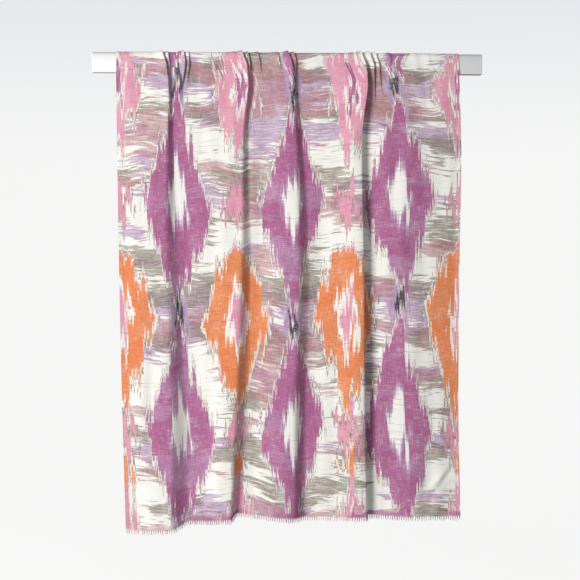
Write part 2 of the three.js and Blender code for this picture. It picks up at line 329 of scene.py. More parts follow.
# The noises of the cloth: cells in a metre across it and along it, a shift that makes each its own, detail
# and roughness
NOISES = {
    "spikes": (760, 9, 0, 3, 0.6),
    "sway across": (3.1, 3.4, 3, 2, 0.5),
    "sway along": (3.6, 2.6, 9, 2, 0.5),
    "streaks": (15, 210, 5, 2, 0.5),
    "unsteady hand": (7, 5, 23, 2, 0.5),
    "brush patches": (5, 15, 0, 2, 0.5),
    "bristles": (19, 190, 3, 4, 0.58),
    "dry bristles": (26, 430, 6, 3, 0.62),
    "dark strokes": (8, 290, 53, 3, 0.55),
    "yarns across": (60, 420, 61, 3, 0.75),
    "yarns along": (420, 60, 71, 3, 0.75),
    "clouds": (22, 22, 77, 4, 0.65),
    "hem line": (34, 60, 83, 2, 0.5),
    "hem patches": (11, 11, 87, 2, 0.5),
    "slubs along": (900, 30, 81, 2, 0.5),
    "slubs across": (30, 900, 91, 2, 0.5),
}

# The bands between the rows, from a figure's row to half way to the next: where they come in, and where
# their shoulders end
BAND_EDGE, SHOULDER_EDGE = (0.30, 0.44), (0.42, 0.49)

# The brush: its hand's sway in metres, how much its bristles fray a patch, the patch's soft edge, how much
# paint is missing where it is dry, between two levels of its noise, and the thin dark strokes over all
HAND_SWAY = 0.034
BRISTLE_SHARE, WET_EDGE = 0.42, 0.035
DRY_SHARE, DRY_EDGE = 0.45, (0.36, 0.52)
STROKE_STRENGTH, STROKE_EDGE = 0.36, (0.65, 0.71)

# Undyed and dark slubs: the tones between which they come in, and how strongly they show
LIGHT_SLUBS, LIGHT_STRENGTH = (1.36, 1.80), 0.34
DARK_SLUBS, DARK_STRENGTH = (0.92, 1.36), 0.46

# The pooled dye above the frayed ends: how deep it is, in metres, how far that wanders, where its patches
# come in, and its strength
POOL_EDGE, POOL_WANDER = (0.006, 0.011), 0.014
POOL_PATCHES, POOL_STRENGTH = (0.40, 0.56), 0.8

# The dyes of the print, as the sidebar names them, and how much paler it is on the cloth's reverse
DYES = ("ivory", "orchid", "pink", "lavender", "orange", "taupe", "rose", "charcoal")
REVERSE_PALER = 0.35

# A side hem: where its inner edge starts and how wide its slope is, as shares of its width, and how far it
# stands out on each face, as shares of the cloth's thickness
HEM_START, HEM_SLOPE = 0.92, 0.16
HEM_OUTWARD, HEM_INWARD = 0.5, 0.7

# A frayed yarn: its points and sides, its least and greatest share of the given length, how far down it has
# drawn into its tuft, its waver's cells in a metre and reach as a share of the length, and how far its root
# goes up into the cloth
YARN_POINTS, YARN_SIDES = 6, 4
YARN_LENGTHS = (0.72, 1.08)
TUFT_CLOSED = 0.7
WAVER_SCALE, WAVER_REACH = 420.0, 0.45
ROOT_RAISE = 0.0012
YARN_SEEDS = {"front": 40, "back": 42}

# A stitch: its least and greatest share of the given length, and how far it lies above the middle of the
# cloth, as a share of the cloth's thickness
STITCH_LENGTHS = (0.85, 1.1)
STITCH_RAISE = 0.85
STITCH_SEEDS = {"front": 70, "back": 71}

# The rail's half-round top and eased edges: their steps, and the degrees past which an edge is eased
RAIL_STEPS = 33
EDGE_STEPS, EDGE_ANGLE = 3, 40

# The studio: the curve from its floor to its wall and its steps, the wall's height and its sides, the
# paper's own colour and the painted light that it glows with instead of being lit, greyer high than low,
# the heights between which the low glow turns into the high one, and the room's light
FLOOR_CURVE, CURVE_STEPS, WALL_HEIGHT, WALL_SIDES = 1.4, 17, 12.0, 96
PAPER_BASE, PAPER_GLOW_LOW, PAPER_GLOW_HIGH = (0.03, 0.03, 0.03), (0.895, 0.90, 0.89), (0.745, 0.76, 0.795)
PAPER_TURN = (0.2, 1.6)
ROOM_LIGHT = (0.95, 0.97, 1.0)

# Each lamp's place and the side of its square, and where the lamps and the camera point
LAMPS = {
    "key": ((-3.2, -3.2, 0.0), 1.6),
    "fill": ((2.8, -3.0, 0.1), 2.0),
    "rear": ((-3.5, 3.0, -0.2), 1.6),
    "side": ((3.9, 1.2, 0.0), 1.6),
}
LAMP_AIM = Vector((0.0, 0.0, -0.42))
CAMERA_AIM = Vector((0.0039, 0.0, -0.422))
CAMERA_ASIDE = -0.093
SENSOR_WIDTH = 36.0


def ease(share):
    """0 below 0, 1 above 1, and a smooth rise between."""
    share = np.clip(share, 0, 1)
    return share * share * (3 - 2 * share)


def curve(rows, column, s):
    """A column of a table at s, on one smooth curve through its rows."""
    knots, values = rows["s"], rows[column]
    ends = np.arange(len(knots))
    before, after = np.maximum(ends - 1, 0), np.minimum(ends + 1, len(knots) - 1)
    slopes = (values[after] - values[before]) / (knots[after] - knots[before])
    i = np.clip(np.searchsorted(knots, s, side="right") - 1, 0, len(knots) - 2)
    length = knots[i + 1] - knots[i]
    t = np.clip((s - knots[i]) / length, 0, 1)
    hold = (1 + 2 * t) * (1 - t) ** 2
    start, end = t * (1 - t) ** 2 * length, t * t * (t - 1) * length
    return hold * values[i] + (1 - hold) * values[i + 1] + start * slopes[i] + end * slopes[i + 1]


def stations(s):
    """The edges, ridges and feet of the cloth's cross-section at s: their X, height, lean and slip."""
    folds = [{name: curve(fold, name, s) for name in FOLD_COLUMNS[1:]} for fold in FOLDS]
    first, last = folds[0], folds[-1]
    marks = [(curve(EDGES, "left", s), LEFT_EDGE["share"] * first["depth"], 0, LEFT_EDGE["slip"])]
    for fold, (ridge_slip, foot_slip) in zip(folds, FOLD_SLIPS):
        marks.append((fold["foot"] - fold["run"], fold["depth"], fold["lean"], ridge_slip))
        marks.append((fold["foot"], 0, 0, foot_slip))
    shoulder = last["foot"] + RIGHT_SHOULDER["offset"]
    marks.append((shoulder, RIGHT_SHOULDER["share"] * last["depth"], 0, RIGHT_SHOULDER["slip"]))
    marks.append((curve(EDGES, "right", s), RIGHT_EDGE["share"] * last["depth"], 0, RIGHT_EDGE["slip"]))
    return marks


def across(marks, value, x):
    """One of the marks' values at x, easing from each mark to the next."""
    total = marks[0][value] + 0 * x
    for near, far in zip(marks, marks[1:]):
        total = total + (far[value] - near[value]) * ease((x - near[MARK_X]) / (far[MARK_X] - near[MARK_X]))
    return total


def pleat_height(x, s):
    """What the narrow pleats add to the cloth's height."""
    height = 0 * x
    grown = PLEAT_ON_CROWN + (1 - PLEAT_ON_CROWN) * ease(np.abs(s) / PLEAT_FULL_AT)
    for place, drift, tall, wide, front, back in zip(*PLEATS.values()):
        run = np.minimum(1, np.abs(s) / np.where(s >= 0, front, back))
        aside = x - place - drift * run
        side = np.where(aside < 0, PLEAT_LEFT_SIDE, PLEAT_RIGHT_SIDE)
        width = wide * (1 + PLEAT_WIDENING * run) * side
        height = height + tall * grown * (1 - ease(run)) * np.exp(-((aside / width) ** 2))
    return height


def crease_height(x, s):
    """What the soft creases add: each fades out at its two ends."""
    height = 0 * x
    for x0, s0, x1, s1, width, depth in zip(*CREASES.values()):
        run_x, run_s = x1 - x0, s1 - s0
        length = math.hypot(run_x, run_s)
        along = ((x - x0) * run_x + (s - s0) * run_s) / length
        aside = ((x - x0) * run_s - (s - s0) * run_x) / length
        soft = CREASE_FADE * length
        fade = ease(along / soft + 0.5) * ease((length - along) / soft + 0.5)
        height = height + depth * fade * np.exp(-((aside / width) ** 2))
    return height


def ripple_height(x, s):
    """The cloth's broad unevenness, which starts a little below the rail."""
    height = 0 * x
    for wide, long, phase, tall in zip(*RIPPLES.values()):
        height = height + tall * np.sin(2 * math.pi * (x / wide + s / long) + phase)
    return height * ease((np.abs(s) - RIPPLE_START) / (RIPPLE_FULL - RIPPLE_START))


def cloth_points(x, s):
    """Points of the cloth's middle surface, in metres, at places x across it and s along it."""
    marks = stations(s)
    pleats = pleat_height(x, s)
    loose = ease(np.abs(s) / QUARTER_TURN - CREASES_START)
    height = across(marks, MARK_HEIGHT, x) + pleats
    height = height + loose * (crease_height(x, s) + ripple_height(x, s))
    height = np.maximum(height, 0)
    reach = TURN_RADIUS + height
    angle = np.clip(s / TURN_RADIUS, -math.pi / 2, math.pi / 2)
    fall = np.maximum(np.abs(s) - QUARTER_TURN, 0)
    return MM * np.stack(
        (
            x + across(marks, MARK_LEAN, x) + PLEAT_LEAN * pleats,
            -reach * np.sin(angle),
            TURN_CENTRE_Z + reach * np.cos(angle) - fall,
        ),
        axis=-1,
    )


def row_distances(length, turn_rows, fall_rows, spread=1.25):
    """Distances of the rows from the crown: even round the turn, then wider apart towards the hem."""
    turn = QUARTER_TURN * np.arange(turn_rows) / turn_rows
    fall = QUARTER_TURN + (length - QUARTER_TURN) * (np.arange(fall_rows + 1) / fall_rows) ** spread
    return np.concatenate((turn, fall))


@functools.cache
def stretch(side, length, flat, hem, columns, turn_rows, fall_rows):
    """One hanging stretch of the cloth: its points, and each point's place on the flat cut, in metres.

    The columns lie where the cross-section is long or bends. A point's place across the cut is its
    distance along its row, so the print follows the folds."""
    length = length / MM
    level = side * row_distances(length, turn_rows, fall_rows)[:, None]
    marks = stations(level)
    left, right = marks[0][MARK_X], marks[-1][MARK_X]
    fine = left + (right - left) * np.linspace(0, 1, FINE_STEPS + 1)
    spots = cloth_points(fine, level + 0 * fine)
    steps = np.diff(spots, axis=1)
    strides = np.linalg.norm(steps, axis=2)
    bends = np.linalg.norm(np.diff(steps / strides[..., None], axis=1), axis=2)
    need = strides.copy()
    need[:, 1:] += BEND_PULL * bends
    need[:, :-1] += BEND_PULL * bends
    walked = np.pad(np.cumsum(strides, axis=1), ((0, 0), (1, 0)))
    needed = np.pad(np.cumsum(need, axis=1), ((0, 0), (1, 0)))
    x_rows, u_rows = [], []
    for row in range(len(level)):
        u = walked[row] * flat / walked[row, -1]
        wanted = needed[row] / needed[row, -1]
        inner = np.interp((hem, flat - hem), u, wanted)
        shares = np.concatenate(
            (
                np.linspace(0, inner[0], HEM_COLUMNS + 1)[:-1],
                np.linspace(inner[0], inner[1], columns - 2 * HEM_COLUMNS),
                np.linspace(inner[1], 1, HEM_COLUMNS + 1)[1:],
            )
        )
        u_rows.append(np.interp(shares, wanted, u))
        x_rows.append(np.interp(shares, wanted, fine[row]))
    x, u = np.array(x_rows), np.array(u_rows)
    slip = across(stations(level + 0 * x), MARK_SLIP, x) * np.abs(level) / length
    places = np.stack((u, MM * (level + 0 * x)), axis=-1)
    return cloth_points(x, level + slip), places


def hanging(side, sizes):
    """One stretch of the cloth as it hangs, from the sizes in the sidebar."""
    length = sizes.front_length if side == FRONT else sizes.back_length
    return stretch(
        side, length, sizes.width, sizes.hem_width, sizes.columns, sizes.turn_rows, sizes.fall_rows
    )


def grid_normals(points):
    """Outward normals of a grid of points, whose rows run down from the crown."""
    down = np.gradient(points, axis=0)
    aside = np.gradient(points, axis=1)
    normals = np.cross(down, aside)
    return normals / np.linalg.norm(normals, axis=2, keepdims=True)


def wall_mesh(name, outer, inner, places):
    """A closed wall between two grids of points. Its inner face is in the second material slot."""
    rows, columns = outer.shape[:2]
    count = rows * columns
    index = np.arange(count).reshape(rows, columns)
    a, b, c, d = index[:-1, :-1], index[1:, :-1], index[1:, 1:], index[:-1, 1:]
    faces = [np.stack((a, b, c, d), axis=-1).reshape(-1, 4)]
    faces.append(faces[0][:, ::-1] + count)
    for edge in (index[:, 0], index[-1, :], index[::-1, -1], index[0, ::-1]):
        start, end = edge[:-1], edge[1:]
        faces.append(np.stack((start, start + count, end + count, end), axis=-1))
    mesh = bpy.data.meshes.new(name)
    points = np.concatenate((outer.reshape(-1, 3), inner.reshape(-1, 3)))
    quads = np.concatenate(faces)
    mesh.from_pydata(points.tolist(), [], quads.tolist())
    layer = mesh.uv_layers.new(name=CUT_MAP)
    flat = np.concatenate((places.reshape(-1, 2),) * 2)
    layer.data.foreach_set("uv", flat[quads.ravel()].ravel())
    slots = np.zeros(len(quads), np.int32)
    slots[len(faces[0]) : 2 * len(faces[0])] = 1
    mesh.polygons.foreach_set("material_index", slots)
    mesh.shade_smooth()
    mesh.set_sharp_from_angle(angle=math.radians(RIM_ANGLE))
    return mesh


def add_object(name, mesh, *materials):
    """Links a mesh to the scene as an object at the origin."""
    piece = bpy.data.objects.new(name, mesh)
    bpy.context.scene.collection.objects.link(piece)
    for material in materials:
        mesh.materials.append(material)
    return piece


def as_plain_mesh(piece):
    """Swaps a piece's mesh for what its modifiers make of it, and removes them."""
    graph = bpy.context.evaluated_depsgraph_get()
    made = piece.evaluated_get(graph)
    mesh = bpy.data.meshes.new_from_object(made, preserve_all_data_layers=True, depsgraph=graph)
    mesh.name = piece.name
    piece.modifiers.clear()
    piece.data = mesh


def line_mesh(name, lines, places=None):
    """Open lines of points as a mesh of edges, with each point's place on the flat cut where it is given."""
    points = np.concatenate(lines)
    edges, start = [], 0
    for line in lines:
        edges += [(start + i, start + i + 1) for i in range(len(line) - 1)]
        start += len(line)
    mesh = bpy.data.meshes.new(name)
    mesh.from_pydata(points.tolist(), edges, [])
    if places is not None:
        layer = mesh.attributes.new(YARN_PLACE, "FLOAT_VECTOR", "POINT")
        padded = np.pad(np.concatenate(places), ((0, 0), (0, 1)))
        layer.data.foreach_set("vector", padded.ravel())
    return mesh


def maths(operation, swapped=False):
    """A method that adds a Math node for a wire, with another value where the operation takes one."""

    def method(self, other=0.0):
        values = {0: other, 1: self} if swapped else {0: self, 1: other}
        return self.nodes.make("ShaderNodeMath", {"operation": operation}, values)

    return method


class Wire:
    """A node's output. Sums, products and the like of wires add Math nodes to their tree."""

    def __init__(self, nodes, socket):
        self.nodes = nodes
        self.socket = socket

    __add__ = __radd__ = maths("ADD")
    __sub__ = maths("SUBTRACT")
    __rsub__ = maths("SUBTRACT", swapped=True)
    __mul__ = __rmul__ = maths("MULTIPLY")
    __truediv__ = maths("DIVIDE")
    __abs__ = maths("ABSOLUTE")
    fraction = maths("FRACT")
    floor = maths("FLOOR")
    sine = maths("SINE")


class Nodes:
    """Makes the nodes of one tree, with their settings and sockets."""

    def __init__(self, tree):
        self.tree = tree
        tree.nodes.clear()

    def make(self, kind, settings=None, sockets=None, output=0):
        node = self.tree.nodes.new(kind)
        for name, value in (settings or {}).items():
            setattr(node, name, value)
        for key, value in (sockets or {}).items():
            if isinstance(value, Wire):
                self.tree.links.new(value.socket, node.inputs[key])
            else:
                node.inputs[key].default_value = value
        outputs = [Wire(self, socket) for socket in node.outputs]
        return outputs[output] if outputs else None

    def vector(self, x=0.0, y=0.0, z=0.0):
        return self.make("ShaderNodeCombineXYZ", {}, {0: x, 1: y, 2: z})

    def vector_math(self, operation, *values):
        return self.make("ShaderNodeVectorMath", {"operation": operation}, dict(enumerate(values)))

    def split(self, vector):
        """The X and Y of a vector."""
        x = self.make("ShaderNodeSeparateXYZ", {}, {0: vector})
        return x, Wire(self, x.socket.node.outputs[1])

    def mix(self, share, low, high, blend="MIX"):
        """From a colour towards another, or towards their product."""
        settings = {"data_type": "RGBA", "blend_type": blend}
        return self.make("ShaderNodeMix", settings, {0: share, 6: low, 7: high}, output=2)

    def step(self, value, low, high):
        """A soft step: 0 below low, 1 above high."""
        settings = {"interpolation_type": "SMOOTHSTEP"}
        return self.make("ShaderNodeMapRange", settings, {"Value": value, "From Min": low, "From Max": high})

    def cloth_noise(self, place, name, shift=0):
        """One of the cloth's noises, from 0 to 1, over a place on the flat cut."""
        cells_across, cells_along, own_shift, detail, roughness = NOISES[name]
        shift += own_shift
        scale, offset = (cells_across, cells_along, 1.0), (shift, 1.7 * shift, 0.0)
        spot = self.vector_math("MULTIPLY_ADD", place, scale, offset)
        sockets = {"Vector": spot, "Scale": 1.0, "Detail": detail, "Roughness": roughness}
        return self.make("ShaderNodeTexNoise", {"noise_dimensions": "2D"}, sockets)

    def noise(self, place, scale, detail, output=0):
        """Noise from 0 to 1 over a place in space, or a colour of three such noises as output 1."""
        sockets = {"Vector": place, "Scale": scale, "Detail": detail}
        return self.make("ShaderNodeTexNoise", {}, sockets, output)

    def place(self):
        """Where a point lies in its object."""
        return self.make("ShaderNodeTexCoord", output=3)

    def random(self, low, high, seed):
        """A number for each instance, drawn between two others."""
        sockets = {2: low, 3: high, "Seed": seed}
        return self.make("FunctionNodeRandomValue", {"data_type": "FLOAT"}, sockets, output=1)

    def scatter(self, points, instance, rotation, scale):
        """An instance on each point, all made real."""
        sockets = {"Points": points, "Instance": instance, "Rotation": rotation, "Scale": scale}
        placed = self.make("GeometryNodeInstanceOnPoints", {}, sockets)
        return self.make("GeometryNodeRealizeInstances", {}, {"Geometry": placed})

    def surface(self, sockets):
        """Ends a material with a Principled shader."""
        shader = self.make("ShaderNodeBsdfPrincipled", {}, sockets)
        self.make("ShaderNodeOutputMaterial", {}, {"Surface": shader})


def opaque(colour):
    return (*colour, 1.0)


def new_material(name):
    """A material, and the maker of its nodes."""
    material = bpy.data.materials.new(name)
    material.use_nodes = True
    return material, Nodes(material.node_tree)


def warm_rows(nodes, v, look):
    """1 in every other row of the small lozenges, which are larger and warm there, and 0 between."""
    row = (v / (2 * look.repeat_length) + WARM_START).fraction()
    return nodes.step(row, *WARM_FROM) * (1 - nodes.step(row, *WARM_TO))


def figure_distances(nodes, place, look):
    """How far each place is from the middles of the figures, which lie in a half drop, and from its row.

    The beads lie between the small lozenges, and the tips are those of the large lozenges. The row's
    distance is 0 along the rows of large lozenges and a half between them. The yarns shift the figures up
    and down in bundles and one by one, which gives them their long spikes."""
    u, v = nodes.split(place)
    bundles = {"noise_dimensions": "1D"}
    wide = nodes.make("ShaderNodeTexWhiteNoise", bundles, {"W": (u / BUNDLE_WIDTH).floor()})
    narrow = nodes.make("ShaderNodeTexWhiteNoise", bundles, {"W": (u / NARROW_WIDTH).floor() + 0.5})
    fine = nodes.cloth_noise(place, "spikes")
    spike = look.feather * ((wide - 0.5) + 0.7 * (narrow - 0.5) + 1.2 * (fine - 0.5))
    sway_u = SWAY_ACROSS * (nodes.cloth_noise(place, "sway across") - 0.5)
    sway_v = SWAY_ALONG * (nodes.cloth_noise(place, "sway along") - 0.5)
    streak = STREAK * (nodes.cloth_noise(place, "streaks") - 0.5)
    beside = abs(((u + sway_u) / look.repeat_width).fraction() - 0.5)
    above = abs(((v + sway_v + spike) / look.repeat_length - ROW_START).fraction() - 0.5)
    calm = abs(((v + sway_v) / look.repeat_length - ROW_START).fraction() - 0.5)

    def from_middle(figure, aside, apart):
        slope_u, slope_v = FIGURE_SLOPES[figure]
        return slope_u * aside + slope_v * apart

    small = from_middle("small", 0.5 - beside, 0.5 - above)
    return {
        "large": from_middle("large", beside, above) + streak,
        "small": small * (1 - WARM_GROWTH * warm_rows(nodes, v, look)) + streak,
        "bead": from_middle("bead", 0.5 - beside, above) + streak,
        "tip": from_middle("tip", beside, 0.5 - above) + streak,
        "row": calm,
    }


def brush_patch(nodes, place, shift, lift, level):
    """A patch of dry brush strokes across the cloth: ragged at its ends, and thin where the brush ran dry."""
    patch = nodes.cloth_noise(place, "brush patches", shift)
    bristles = nodes.cloth_noise(place, "bristles", shift)
    dry = nodes.cloth_noise(place, "dry bristles", shift)
    wet = nodes.step(patch + BRISTLE_SHARE * (bristles - 0.5) + lift, level, level + WET_EDGE)
    return wet * (1 - DRY_SHARE + DRY_SHARE * nodes.step(dry, *DRY_EDGE))


def print_colour(nodes, place, look):
    """The printed colour at a place on the flat cut: feathered lozenges over brushed bands."""
    dyes = {name: opaque(getattr(look, name)) for name in DYES}
    distances = figure_distances(nodes, place, look)
    _, v = nodes.split(place)

    # Bands between the rows of large lozenges, brushed over the undyed ground by an unsteady hand. Each
    # layer has its dye and strength, its shift, how much it is lifted in the bands, and its level.
    rise = nodes.vector(y=HAND_SWAY * (nodes.cloth_noise(place, "unsteady hand") - 0.5))
    hand = nodes.vector_math("ADD", place, rise)
    band = nodes.step(distances["row"], *BAND_EDGE)
    shoulder = band * (1 - nodes.step(distances["row"], *SHOULDER_EDGE))
    colour = dyes["ivory"]
    for dye, strength, shift, lift, level in (
        ("lavender", 0.90, 13, 0.17 * band, 0.600),
        ("taupe", 0.80, 31, 0.13 * shoulder, 0.565),
        ("rose", 0.75, 47, 0.08 * band, 0.580),
    ):
        colour = nodes.mix(strength * brush_patch(nodes, hand, shift, lift, level), colour, dyes[dye])

    # The large lozenges' dye is washed thin in places, and the warm rows of small ones have their own dyes
    thin = 0.45 * brush_patch(nodes, hand, 59, 0.0, 0.575)
    warm = warm_rows(nodes, v, look)
    dyes["washed"] = nodes.mix(thin, dyes["orchid"], dyes["lavender"])
    dyes["outer"] = nodes.mix(warm, dyes["pink"], dyes["orange"])
    dyes["inner"] = nodes.mix(warm, dyes["orchid"], dyes["pink"])
    for figure, rings in FIGURES.items():
        for dye, radius, edge in rings:
            inside = 1 - nodes.step(distances[figure], radius - edge, radius)
            colour = nodes.mix(inside, colour, dyes[dye])

    # A few thin dark strokes over everything
    stroke = nodes.step(nodes.cloth_noise(hand, "dark strokes"), *STROKE_EDGE)
    return nodes.mix(STROKE_STRENGTH * stroke, colour, dyes["taupe"])


def thread_colour(nodes, place, colour, look):
    """A dyed colour as the yarns take it: uneven from one to the next, with undyed and dark slubs."""
    yarns = nodes.cloth_noise(place, "yarns across") + 0.9 * nodes.cloth_noise(place, "yarns along")
    tone = yarns + 0.8 * nodes.cloth_noise(place, "clouds")
    light = LIGHT_STRENGTH * nodes.step(tone, *LIGHT_SLUBS)
    dark = DARK_STRENGTH * (1 - nodes.step(tone, *DARK_SLUBS))
    colour = nodes.mix(light, colour, opaque(look.ivory))
    return nodes.mix(dark, colour, colour, blend="MULTIPLY")


def hem_shade(nodes, place, look):
    """How far the dyes have pooled in the last millimetres above each frayed end."""
    _, v = nodes.split(place)
    from_end = look.half_length - abs(v - look.middle)
    depth = from_end + POOL_WANDER * (nodes.cloth_noise(place, "hem line") - 0.5)
    patchy = nodes.step(nodes.cloth_noise(place, "hem patches"), *POOL_PATCHES)
    return (1 - nodes.step(depth, *POOL_EDGE)) * patchy


def weave_height(nodes, place, look):
    """The height of the plain weave, with its thick and thin yarns, and those yarns alone."""
    u, v = nodes.split(place)
    turn = math.pi / look.yarn_pitch
    over = (turn * u).sine() * (turn * v).sine()
    slubs = nodes.cloth_noise(place, "slubs along") + nodes.cloth_noise(place, "slubs across")
    return 0.5 * over + slubs, slubs


def cloth_material(name, place_of, paler=0.0):
    """A printed light woven cloth. paler is how far the print is washed out, as on its reverse."""
    look = bpy.context.scene.scarf_print
    material, nodes = new_material(name)
    place = place_of(nodes)
    colour = print_colour(nodes, place, look)
    colour = nodes.mix(POOL_STRENGTH * hem_shade(nodes, place, look), colour, opaque(look.orchid))
    colour = thread_colour(nodes, place, colour, look)
    if paler:
        colour = nodes.mix(paler, colour, opaque(look.ivory))
    height, slubs = weave_height(nodes, place, look)
    bump = nodes.make("ShaderNodeBump", {}, {"Strength": 0.6, "Distance": 0.00025, "Height": height})
    sockets = {
        "Base Color": colour,
        "Roughness": 0.82 + 0.10 * nodes.step(slubs, 0.55, 1.45),
        "Normal": bump,
        "Sheen Weight": 0.12,
        "Sheen Roughness": 0.45,
        "Specular IOR Level": 0.2,
    }
    nodes.surface(sockets)
    return material


def cut_place(nodes):
    """Where a point lies on the flat cut, from the cloth's own map."""
    return nodes.make("ShaderNodeUVMap", {"uv_map": CUT_MAP})


def yarn_place(nodes):
    """Where a yarn's root lies on the flat cut, from the yarns' own attribute."""
    return nodes.make("ShaderNodeAttribute", {"attribute_name": YARN_PLACE}, output=1)


def thread_material():
    """The sewing thread of the side hems."""
    look = bpy.context.scene.scarf_print
    material, nodes = new_material("hem thread")
    ply = nodes.noise(nodes.place(), 2400.0, 2.0)
    colour = nodes.mix(0.5 * ply, opaque(look.ivory), opaque(look.lavender))
    nodes.surface({"Base Color": colour, "Roughness": 0.55 + 0.2 * ply, "Sheen Weight": 0.1})
    return material


def paint_material():
    """White satin paint on wood: faint brush marks along the rail, and duller patches."""
    look = bpy.context.scene.scarf_rail
    material, nodes = new_material("rail paint")
    spot = nodes.place()
    brush = nodes.noise(nodes.vector_math("MULTIPLY", spot, (14, 900, 900)), 1.0, 4.0)
    cloudy = nodes.noise(spot, 18.0, 3.0)
    colour = nodes.mix(0.25 * cloudy + 0.15 * brush, opaque(look.paint), opaque(look.worn_paint))
    bump = nodes.make("ShaderNodeBump", {}, {"Strength": 0.25, "Distance": 0.0002, "Height": brush})
    sockets = {
        "Base Color": colour,
        "Roughness": 0.38 + 0.2 * cloudy,
        "Normal": bump,
        "Coat Weight": 0.08,
    }
    nodes.surface(sockets)
    return material


def glowing_paper_material():
    """The studio's pale paper, which glows with painted light instead of being lit, a little greyer above the
    rail than below.
    """
    material, nodes = new_material("studio paper")
    height = nodes.make("ShaderNodeSeparateXYZ", {}, {0: nodes.place()}, output=2)
    glow = nodes.mix(nodes.step(height, *PAPER_TURN), opaque(PAPER_GLOW_LOW), opaque(PAPER_GLOW_HIGH))
    sockets = {
        "Base Color": opaque(PAPER_BASE),
        "Roughness": 1.0,
        "Specular IOR Level": 0.0,
        "Emission Color": glow,
        "Emission Strength": 1.0,
    }
    nodes.surface(sockets)
    return material


def labelled(sizes):
    """The sizes of a property group under their labels, which its node group's inputs have too."""
    labels = sizes.bl_rna.properties
    return {labels[name].name: getattr(sizes, name) for name in sizes.__annotations__}


def node_group(name, sizes):
    """A Geometry Nodes group whose inputs are sizes, a seed and a material, and its input wires."""
    inputs = dict.fromkeys(labelled(sizes), "NodeSocketFloat")
    inputs |= {"Seed": "NodeSocketInt", "Material": "NodeSocketMaterial"}
    group = bpy.data.node_groups.new(name, "GeometryNodeTree")
    group.interface.new_socket("Geometry", in_out="OUTPUT", socket_type="NodeSocketGeometry")
    group.interface.new_socket("Geometry", in_out="INPUT", socket_type="NodeSocketGeometry")
    for label, kind in inputs.items():
        group.interface.new_socket(label, in_out="INPUT", socket_type=kind)
    nodes = Nodes(group)
    first = nodes.make("NodeGroupInput").socket.node
    wires = {socket.name: Wire(nodes, socket) for socket in first.outputs if socket.name}
    return group, nodes, wires


def points_along(nodes, line, distance):
    """Points on a line of edges, evenly apart."""
    path = nodes.make("GeometryNodeMeshToCurve", {}, {0: line})
    sockets = {"Curve": path, "Length": distance}
    return nodes.make("GeometryNodeResampleCurve", {"mode": "LENGTH"}, sockets)


def finish_group(nodes, geometry, material):
    """Ends a group, whose instances are real: it gets its material."""
    solid = nodes.make("GeometryNodeSetMaterial", {}, {"Geometry": geometry, "Material": material})
    nodes.make("NodeGroupOutput", {}, {0: solid})


def run_group(piece, group, sizes, seed, material):
    """Puts a group on a piece as a modifier with its inputs set, and keeps only the mesh it makes."""
    values = labelled(sizes) | {"Seed": seed, "Material": material}
    modifier = piece.modifiers.new(group.name, "NODES")
    modifier.node_group = group
    for item in group.interface.items_tree:
        if item.in_out == "INPUT" and item.name in values:
            modifier[item.identifier] = values[item.name]
    as_plain_mesh(piece)


def yarn_group(sizes):
    """Frayed yarns along a line of roots: each hangs down, leans into its tuft and tapers to its tip."""
    group, nodes, given = node_group("Frayed yarns", sizes)
    roots = points_along(nodes, given["Geometry"], given["Spacing"])

    # One yarn: a line that hangs down, given its thickness and closed ends
    tip = nodes.vector(z=0 - given["Length"])
    yarn = nodes.make("GeometryNodeCurvePrimitiveLine", {}, {"End": tip})
    yarn = nodes.make("GeometryNodeResampleCurve", {}, {"Curve": yarn, "Count": YARN_POINTS})
    down = nodes.make("GeometryNodeSplineParameter")
    radius = given["Root radius"] + down * (given["Tip radius"] - given["Root radius"])
    settings = {"data_type": "FLOAT", "domain": "POINT"}
    sockets = {"Geometry": yarn, "Name": "down", "Value": down}
    yarn = nodes.make("GeometryNodeStoreNamedAttribute", settings, sockets)
    ring = nodes.make("GeometryNodeCurvePrimitiveCircle", {}, {"Resolution": YARN_SIDES, "Radius": 1.0})
    sockets = {"Curve": yarn, "Profile Curve": ring, "Scale": radius, "Fill Caps": True}
    yarn = nodes.make("GeometryNodeCurveToMesh", {}, sockets)

    # Each stands on its root, leans and is longer or shorter at random
    vectors = {"data_type": "FLOAT_VECTOR"}
    sockets = {0: (-1.0, -1.0, 0.0), 1: (1.0, 1.0, 0.0), "Seed": given["Seed"]}
    loose = nodes.make("FunctionNodeRandomValue", vectors, sockets)
    loose = nodes.make("ShaderNodeVectorMath", {"operation": "SCALE"}, {0: loose, "Scale": given["Stray"]})
    size = nodes.random(*YARN_LENGTHS, given["Seed"] + 1)
    yarns = nodes.scatter(roots, yarn, loose, nodes.vector(1.0, 1.0, size))

    # A tuft's yarns draw together on their way down, and each wavers a little
    place = nodes.make("GeometryNodeInputNamedAttribute", vectors, {"Name": YARN_PLACE})
    depth = nodes.make("GeometryNodeInputNamedAttribute", {"data_type": "FLOAT"}, {"Name": "down"})
    u, _ = nodes.split(place)
    aside = (u / given["Tuft width"]).fraction() - 0.5
    drawn = nodes.step(depth, 0.0, TUFT_CLOSED) * given["Gather"] * given["Tuft width"] * aside
    gathered = nodes.vector(0 - drawn)
    wave = nodes.noise(nodes.make("GeometryNodeInputPosition"), WAVER_SCALE, 1.0, output=1)
    wave = nodes.vector_math("SUBTRACT", wave, (0.5, 0.5, 0.5))
    reach = given["Length"] * depth * WAVER_REACH
    moved = nodes.vector_math("MULTIPLY_ADD", wave, nodes.vector(reach, reach, reach), gathered)
    yarns = nodes.make("GeometryNodeSetPosition", {}, {"Geometry": yarns, "Offset": moved})
    finish_group(nodes, yarns, given["Material"])
    return group


